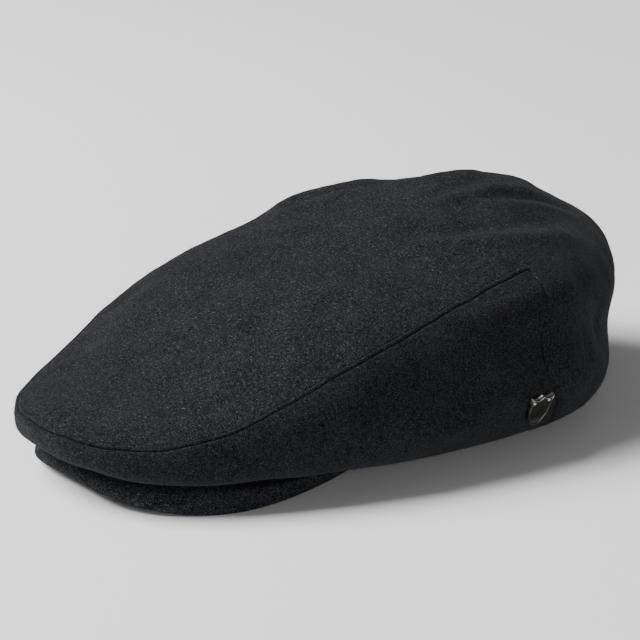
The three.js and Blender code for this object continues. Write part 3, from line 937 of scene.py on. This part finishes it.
@dataclass(frozen=True)
class Topstitch:
    """The row of stitches on the crown above the top seam."""

    panel: CrownPanel
    length: float = 1.8 * MM
    radius: float = 0.2 * MM
    sink: float = 0.12 * MM
    ends: float = 103.0
    sides: int = 8

    def build(self) -> bpy.types.Object:
        """All stitches as one object: each a capsule lying along the seam.

        A capsule's radius along its length is the root of 1 - t^4, so that it ends round.

        Returns:
            The object.
        """
        form, panel = self.panel.form, self.panel
        bearing = np.linspace(-self.ends, self.ends, 4001)
        seam_bearing, seam = form.skirt(bearing, np.zeros_like(bearing), 0)
        profile = form.place(seam_bearing, seam, -panel.stitch_from_seam)
        line = form.outside(seam_bearing, profile)
        run = run_lengths(line, 0)
        at = np.arange(panel.stitch_pitch, run[-1], panel.stitch_pitch)
        bearing, profile = np.interp(at, run, seam_bearing), np.interp(at, run, profile)
        middle, ahead = (
            np.stack([np.interp(spot, run, axis) for axis in line.T], -1) for spot in (at, at + MM)
        )
        out = form.normal(form.outside, bearing, profile)
        along = unit(ahead - middle)
        side = np.cross(out, along)
        wander = 0.12 * np.sin(at / MM * 1.7) + 0.08 * np.sin(at / MM * 0.6)
        along = unit(along + side * wander[:, None])
        side = np.cross(out, along)
        relief = panel.edge_relief(np.array(panel.stitch_from_seam)) - panel.stitch_depth
        middle = middle + out * (relief + form.unevenness(middle) - self.sink)[:, None]
        t = np.linspace(-1, 1, 7)[:, None]
        turn = np.radians(np.arange(0, 360, 360 / self.sides))[None]
        radius = self.radius * np.sqrt(np.clip(1 - t**4, 0.02, 1))
        shape = np.stack(
            [t * self.length / 2 + 0 * turn, radius * np.cos(turn), radius * np.sin(turn)], -1
        )
        basis = np.stack([along, side, out], 1)
        points = middle[:, None] + np.einsum("pi,nij->npj", shape.reshape(-1, 3), basis)
        index = grid_index(len(t), self.sides)
        start = (np.arange(len(at)) * index.size)[:, None, None]
        sides = (grid_faces(grid_index(*index.shape, ring=True))[None] + start).reshape(-1, 4)
        caps = [index[:1, ::-1][None] + start, index[-1:][None] + start]
        caps = np.concatenate(caps).reshape(-1, self.sides)
        return make_object("topstitch", points.reshape(-1, 3), [sides[:, ::-1], caps[:, ::-1]])


@dataclass(frozen=True)
class Fuzz:
    """Fine loose fibres that stand off the felt."""

    panel: Panel
    count: int = 14000
    top_share: float = 0.6
    shortest: float = 0.8 * MM
    longest: float = 2.6 * MM
    radius: float = 0.028 * MM
    sink: float = 0.15 * MM
    rise: tuple[float, float] = (0.12, 0.5)
    bend: tuple[float, float] = (-0.5, 0.5)
    seed: int = 11

    def build(self) -> bpy.types.Object:
        """All fibres as one object: each a bent spindle of three sides, rooted in the cloth.

        A fibre leaves the cloth at a low slope, bends over it at half its length and ends in a
        point above it.

        Returns:
            The object.
        """
        rng = np.random.default_rng(self.seed)
        form = self.panel.form
        on_top = rng.random(self.count) < self.top_share
        profile = np.where(on_top, np.sqrt(rng.random(self.count)), 1 + 0.85 * rng.random(self.count))
        bearing = rng.random(self.count) * 360
        root = form.outside(bearing, profile)
        out = form.normal(form.outside, bearing, profile)
        root += out * (form.unevenness(root) - self.sink)[:, None]
        along = unit(np.cross(out, rng.normal(size=(self.count, 3))))
        side = np.cross(out, along)
        length = (self.shortest + (self.longest - self.shortest) * rng.random(self.count) ** 2)[:, None]
        rise = rng.uniform(*self.rise, (self.count, 1))
        bend = rng.uniform(*self.bend, (self.count, 1))
        middle = root + length * (0.45 * along + rise * out)
        tip = middle + length * (0.5 * along + bend * side + (rise - 0.3) * out * 0.5)
        turn = np.radians([0, 120, 240])[:, None, None]
        ring = self.radius * (np.cos(turn) * side + np.sin(turn) * out)
        points = np.stack([*(root + ring), *(middle + ring), tip], 1)
        base = np.array([[0, 1, 4, 3], [1, 2, 5, 4], [2, 0, 3, 5]])
        ends = np.array([[3, 4, 6], [4, 5, 6], [5, 3, 6], [2, 1, 0]])
        start = (np.arange(self.count) * 7)[:, None, None]
        faces = [(base + start).reshape(-1, 4), (ends + start).reshape(-1, 3)]
        return make_object("wool_fibres", points.reshape(-1, 3), faces)


class Graph:
    """Short calls for building one node tree."""

    def __init__(self, tree: bpy.types.NodeTree) -> None:
        """Empties the tree and keeps it."""
        self.tree = tree
        tree.nodes.clear()

    def add(self, kind: str, inputs: dict[Any, Any] | None = None, **settings: Any) -> bpy.types.Node:
        """One node with its settings and inputs.

        Args:
            kind: the node's type without its ShaderNode prefix.
            inputs: sockets by name or number; a value, or a socket to link.
            settings: the node's own properties.

        Returns:
            The node.
        """
        node = self.tree.nodes.new(kind if kind.startswith("Node") else "ShaderNode" + kind)
        for name, value in settings.items():
            setattr(node, name, value)
        for key, value in (inputs or {}).items():
            if isinstance(value, bpy.types.NodeSocket):
                self.tree.links.new(value, node.inputs[key])
            else:
                node.inputs[key].default_value = value
        return node

    def place(self) -> bpy.types.NodeSocket:
        """The Object coordinates."""
        return self.add("TexCoord").outputs["Object"]

    def bump(self, height: bpy.types.NodeSocket, depth: float) -> bpy.types.NodeSocket:
        """A normal from a height that stands for a depth in metres."""
        return self.add("Bump", {"Height": height, "Distance": depth, "Strength": 1.0}).outputs[0]

    def math(self, operation: str, first: Any, second: Any = 0.0) -> bpy.types.NodeSocket:
        """A Math node's result."""
        return self.add("Math", {0: first, 1: second}, operation=operation).outputs[0]

    def weighted(self, *parts: tuple[Any, float]) -> bpy.types.NodeSocket:
        """The sum of some values, each times its weight."""
        terms = [self.math("MULTIPLY", value, weight) for value, weight in parts]
        return functools.reduce(lambda total, term: self.math("ADD", total, term), terms)

    def noise(
        self, place: Any, scale: float, detail: float = 2.0, rough: float = 0.5
    ) -> bpy.types.NodeSocket:
        """A noise value about 0.5, with cells of one over the scale in metres."""
        inputs = {"Vector": place, "Scale": scale, "Detail": detail, "Roughness": rough}
        return self.add("TexNoise", inputs, noise_dimensions="3D").outputs["Fac"]

    def spread(self, value: Any, low: float, high: float) -> bpy.types.NodeSocket:
        """A value mapped so that low becomes 0 and high 1, held there, with soft ends."""
        inputs = {"Value": value, "From Min": low, "From Max": high}
        return self.add("MapRange", inputs, interpolation_type="SMOOTHSTEP").outputs["Result"]


@dataclass(frozen=True)
class Felt:
    """The felted face of the wool: a shared node group of fibres, flecks and soft mottling."""

    name: str = "felted_wool"
    speckle: float = 0.62 * MM
    mottle: float = 1.7 * MM
    cloud: float = 16 * MM
    fibre: float = 0.36 * MM
    fibre_stretch: float = 0.2
    warp: float = 0.7 * MM
    lays: tuple[tuple[float, float, float], ...] = ((0.3, 0.9, 0.4), (1.4, 0.2, 2.3), (0.9, 2.1, 1.2))

    def group(self) -> bpy.types.NodeTree:
        """The group, built once: a place goes in, a tone and a height come out.

        Returns:
            The node group.
        """
        known = bpy.data.node_groups.get(self.name)
        if known:
            return known
        tree = bpy.data.node_groups.new(self.name, "ShaderNodeTree")
        tree.interface.new_socket("Place", in_out="INPUT", socket_type="NodeSocketVector")
        for name in ("Tone", "Fleck", "Height"):
            tree.interface.new_socket(name, in_out="OUTPUT", socket_type="NodeSocketFloat")
        graph = Graph(tree)
        place = graph.add("NodeGroupInput").outputs["Place"]
        bend = graph.add("TexNoise", {"Vector": place, "Scale": 1 / (3 * MM), "Detail": 1.0})
        push = graph.add("VectorMath", {0: bend.outputs["Color"], 1: (0.5, 0.5, 0.5)}, operation="SUBTRACT")
        scaled = graph.add("VectorMath", {0: push.outputs[0], "Scale": 2 * self.warp}, operation="SCALE")
        warped = graph.add("VectorMath", {0: place, 1: scaled.outputs[0]}, operation="ADD").outputs[0]
        speckle = graph.noise(warped, 1 / self.speckle, 2.0, 0.6)
        mottle = graph.noise(warped, 1 / self.mottle, 3.0, 0.55)
        cloud = graph.noise(place, 1 / self.cloud, 2.0)
        stretch = (self.fibre_stretch, 1.0, 1.0)
        strands = []
        for turn in self.lays:
            laid = graph.add("Mapping", {"Vector": warped, "Rotation": turn, "Scale": stretch})
            strands.append(graph.noise(laid.outputs[0], 1 / self.fibre, 1.0, 0.4))
        fibres = functools.reduce(lambda most, strand: graph.math("MAXIMUM", most, strand), strands)
        tone = graph.weighted((speckle, 0.6), (mottle, 0.28), (cloud, 0.12))
        fleck = graph.spread(fibres, 0.64, 0.82)
        height = graph.weighted((speckle, 0.5), (mottle, 0.7), (fibres, 0.5))
        graph.add("NodeGroupOutput", {"Tone": tone, "Fleck": fleck, "Height": height})
        return tree


class Finish:
    """A material of a name; each kind works out its own surface."""

    name: str

    def surface(self, graph: Graph) -> dict[str, Any]:
        """The Principled shader's inputs."""
        raise NotImplementedError

    def material(self) -> bpy.types.Material:
        """The finish as a material.

        Returns:
            The material.
        """
        made = bpy.data.materials.new(self.name)
        made.use_nodes = True
        graph = Graph(made.node_tree)
        shader = graph.add("BsdfPrincipled", self.surface(graph))
        graph.add("OutputMaterial", {"Surface": shader.outputs[0]})
        return made


@dataclass(frozen=True)
class Wool(Finish):
    """One of the cap's wool finishes; its colours can be scaled lighter or darker as painted light and
    shade.
    """

    name: str
    dark: tuple[float, float, float] = (0.0006, 0.0006, 0.0008)
    light: tuple[float, float, float] = (0.0155, 0.0166, 0.0208)
    fleck: tuple[float, float, float] = (0.085, 0.09, 0.105)
    relief: float = 0.5 * MM
    sheen: float = 0.05
    sheen_roughness: float = 0.45
    # Scales all the wool's colours, giving lighter or darker copies of one wool as painted light and shade.
    painted_light_scale: float = 1.0

    def surface(self, graph: Graph) -> dict[str, Any]:
        """Felt on Object coordinates: a dark ground, lighter fibres and bright flecks.

        Args:
            graph: the material's nodes.

        Returns:
            The Principled shader's inputs.
        """
        felt = graph.add("Group", node_tree=Felt().group())
        graph.tree.links.new(graph.place(), felt.inputs["Place"])
        share = graph.spread(felt.outputs["Tone"], 0.4, 0.62)
        dark, light, fleck = (
            (*(part * self.painted_light_scale for part in colour), 1) for colour in (self.dark, self.light, self.fleck)
        )
        ground = graph.add("Mix", {0: share, 6: dark, 7: light}, data_type="RGBA")
        inputs = {0: felt.outputs["Fleck"], 6: ground.outputs[2], 7: fleck}
        colour = graph.add("Mix", inputs, data_type="RGBA").outputs[2]
        return {
            "Base Color": colour,
            "Normal": graph.bump(felt.outputs["Height"], self.relief),
            "Roughness": 0.95,
            "Specular IOR Level": MATT,
            "Sheen Weight": self.sheen,
            "Sheen Roughness": self.sheen_roughness,
            "Sheen Tint": (0.55, 0.57, 0.62, 1),
        }


@dataclass(frozen=True)
class AntiqueMetal(Finish):
    """Dull silver, rubbed bright on its high edges, painted brighter along the shield's top edge as a
    highlight, and dark in its corners.
    """

    name: str = Slot.METAL.value
    dark: tuple[float, float, float] = (0.035, 0.034, 0.03)
    bright: tuple[float, float, float] = (0.6, 0.58, 0.53)

    def surface(self, graph: Graph) -> dict[str, Any]:
        """Metal whose brightness follows the shield's wear_and_highlight attribute, real rubbing with a
        painted highlight along the top edge, and a stain.

        Args:
            graph: the material's nodes.

        Returns:
            The Principled shader's inputs.
        """
        place = graph.place()
        stain = graph.noise(place, 1 / (1.6 * MM), 3.0, 0.6)
        grain = graph.noise(place, 1 / (0.25 * MM), 2.0, 0.5)
        # The wear_and_highlight attribute: rubbed high edges plus a painted highlight along the top edge.
        wear_and_highlight = graph.add("Attribute", attribute_name="wear_and_highlight").outputs["Fac"]
        rubbed_and_lit = graph.spread(graph.math("ADD", wear_and_highlight, graph.math("MULTIPLY", stain, 0.35)), 0.15, 1.15)
        inputs = {0: rubbed_and_lit, 6: (*self.dark, 1), 7: (*self.bright, 1)}
        colour = graph.add("Mix", inputs, data_type="RGBA").outputs[2]
        rough = graph.math("ADD", 0.22, graph.math("MULTIPLY", stain, 0.25))
        bump = graph.bump(grain, 0.03 * MM)
        return {"Base Color": colour, "Metallic": 1.0, "Roughness": rough, "Normal": bump}


@dataclass(frozen=True)
class Thread(Finish):
    """The dark sewing thread, and by other values the loose fibres."""

    name: str = "sewing_thread"
    colour: tuple[float, float, float] = (0.006, 0.006, 0.007)

    def surface(self, graph: Graph) -> dict[str, Any]:
        """Matt, with the relief of its ply.

        Args:
            graph: the material's nodes.

        Returns:
            The Principled shader's inputs.
        """
        bump = graph.bump(graph.noise(graph.place(), 1 / (0.2 * MM), 1.0), 0.05 * MM)
        inputs = {"Base Color": (*self.colour, 1), "Roughness": 0.85, "Normal": bump}
        return {**inputs, "Specular IOR Level": MATT}


@dataclass(frozen=True)
class PaleFloor(Finish):
    """The studio's floor: an even, matt grey."""

    name: str = "pale_floor"
    tone: float = 0.88

    def surface(self, graph: Graph) -> dict[str, Any]:
        """The same colour all over."""
        return {"Base Color": (*(self.tone,) * 3, 1), "Roughness": 0.8, "Specular IOR Level": MATT}


@dataclass(frozen=True)
class Lamp:
    """One soft studio lamp: where it stands, its size and its power."""

    name: str
    place: tuple[float, float, float]
    size: tuple[float, float]
    power: float

    def build(self, target: Vector) -> bpy.types.Object:
        """The lamp as an object.

        Args:
            target: where it points.

        Returns:
            The object.
        """
        data = bpy.data.lights.new(self.name, "AREA")
        data.shape = "RECTANGLE"
        data.size, data.size_y = self.size
        data.energy = self.power
        obj = bpy.data.objects.new(self.name, data)
        obj.location = self.place
        obj.rotation_euler = (target - Vector(self.place)).to_track_quat("-Z", "Y").to_euler()
        bpy.context.scene.collection.objects.link(obj)
        return obj


@dataclass(frozen=True)
class Studio:
    """A pale floor, soft lamps and the camera."""

    centre: tuple[float, float]
    aim: tuple[float, float] = (-1.15 * MM, 46 * MM)
    floor_size: float = 12.0
    sky: float = 0.12
    bearing: float = 57.5
    height: float = 17.63
    roll: float = -3.63
    distance: float = 1.243
    lens: float = 157.3
    lamps: tuple[Lamp, ...] = (
        Lamp("key", (-1.1, -1.25, 1.95), (1.6, 1.6), 160.0),
        Lamp("fill", (1.7, -0.6, 0.4), (1.4, 0.8), 14.0),
    )

    @property
    def target(self) -> Vector:
        """Where the camera and the lamps look: the cap's middle, a little above the floor."""
        return Vector((self.centre[0], self.centre[1] + self.aim[0], self.aim[1]))

    def floor(self) -> bpy.types.Object:
        """The floor: one square, pale and matt.

        Returns:
            The floor.
        """
        half = self.floor_size / 2
        corners = np.array([(-half, -half, 0), (half, -half, 0), (half, half, 0), (-half, half, 0)])
        obj = make_object("floor", corners, [np.array([[0, 1, 2, 3]])])
        obj.data.materials.append(PaleFloor().material())
        return obj

    def light(self) -> list[bpy.types.Object]:
        """The lamps, aimed at the cap, and an even sky.

        Returns:
            The lamps.
        """
        world = bpy.data.worlds.new("studio")
        world.use_nodes = True
        graph = Graph(world.node_tree)
        sky = graph.add("Background", {"Color": (1, 1, 1, 1), "Strength": self.sky})
        graph.add("OutputWorld", {"Surface": sky.outputs[0]})
        bpy.context.scene.world = world
        return [lamp.build(self.target) for lamp in self.lamps]

    def camera(self) -> bpy.types.Object:
        """The camera, placed by bearing, height and roll round its target.

        Returns:
            The camera, set as the scene's.
        """
        turn, rise, roll = (math.radians(v) for v in (self.bearing, self.height, self.roll))
        back = Vector((math.sin(turn) * math.cos(rise), -math.cos(turn) * math.cos(rise), math.sin(rise)))
        right = Vector((math.cos(turn), math.sin(turn), 0))
        up = back.cross(right)
        data = bpy.data.cameras.new("camera")
        data.lens = self.lens
        data.sensor_width = 36
        obj = bpy.data.objects.new("camera", data)
        side = right * math.cos(roll) + up * math.sin(roll)
        top = up * math.cos(roll) - right * math.sin(roll)
        turned = Matrix((side, top, back)).transposed()
        obj.matrix_world = Matrix.Translation(self.target + back * self.distance) @ turned.to_4x4()
        bpy.context.scene.collection.objects.link(obj)
        bpy.context.scene.camera = obj
        return obj


def main() -> None:
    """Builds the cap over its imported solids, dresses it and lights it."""
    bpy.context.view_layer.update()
    low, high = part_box("peak")
    form = CrownForm(shift=((low.x + high.x) / 2, low.y + PEAK_FRONT))
    crown = CrownPanel(form)
    # Painted light and shade: the same wool is made lighter on the peak and darker on the band, in place of
    # light and shade that the lamps don't give.
    painted_light_scales = {Slot.CROWN: 0.96, Slot.BAND: 0.82, Slot.PEAK: 1.6}
    wool = {slot: Wool(slot.value, painted_light_scale=painted_light_scale).material() for slot, painted_light_scale in painted_light_scales.items()}
    pieces = (
        (crown.build(), Slot.CROWN, wool[Slot.CROWN], "crown_top"),
        (SideBand(form).build(), Slot.BAND, wool[Slot.BAND], "side_band"),
        (Peak(form).build(), Slot.PEAK, wool[Slot.PEAK], "peak"),
        (Badge(form).build(), Slot.METAL, AntiqueMetal().material(), "badge"),
        (Topstitch(crown).build(), Slot.CROWN, Thread().material(), None),
        (Fuzz(crown).build(), Slot.CROWN, Thread("loose_wool", (0.05, 0.052, 0.058)).material(), None),
    )
    for obj, slot, material, node in pieces:
        obj.data.materials.append(material)
        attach(obj, "root")
        if node:
            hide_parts(node)
        log.info("%s: %d vertices, %d faces", obj.name, len(obj.data.vertices), len(obj.data.polygons))
    studio = Studio(form.shift)
    studio.floor()
    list(studio.light())
    studio.camera()


if __name__ == "__main__":
    logging.basicConfig(level=logging.INFO, format="%(message)s")
    main()
